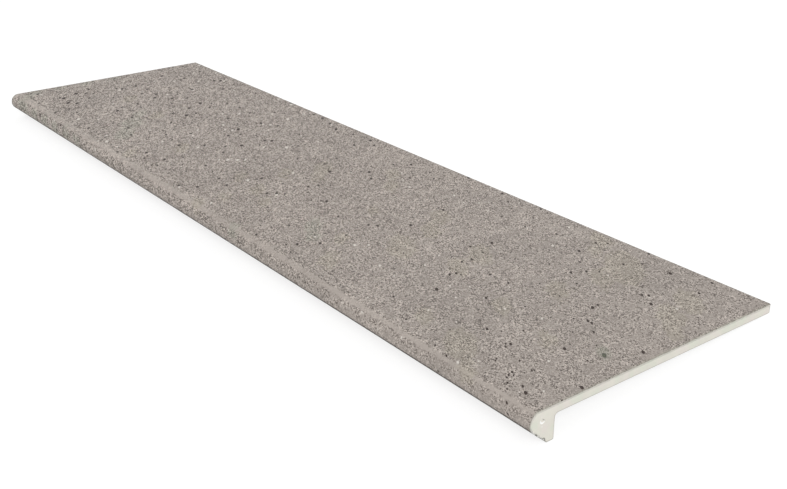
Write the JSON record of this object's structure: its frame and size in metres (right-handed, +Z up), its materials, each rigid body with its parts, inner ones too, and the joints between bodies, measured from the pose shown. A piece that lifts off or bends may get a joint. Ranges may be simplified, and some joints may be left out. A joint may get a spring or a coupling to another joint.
{
  "type": "bullnose tile",
  "caption": "Long matt stone-look stair tread tile with a bullnose front edge, a turned-down nose, a keyed bed and plain pale ends.",
  "frame": {"origin": "centre of the tile's bounding box, on the floor it rests on", "axes": "+X along the nose, +Y from the nose to the back edge, +Z up; the tile leans back 4.9 degrees, as it rests unheld on the heel of its nose and its lower back edge"},
  "size_m": [1.195, 0.3352, 0.0382],
  "materials": {
    "porcelain": "matt speckled stone-look glaze on the top and nose, over an ivory porcelain body"
  },
  "bodies": {
    "root": {"bullnose_tile": "porcelain"}
  },
  "joints": []
}
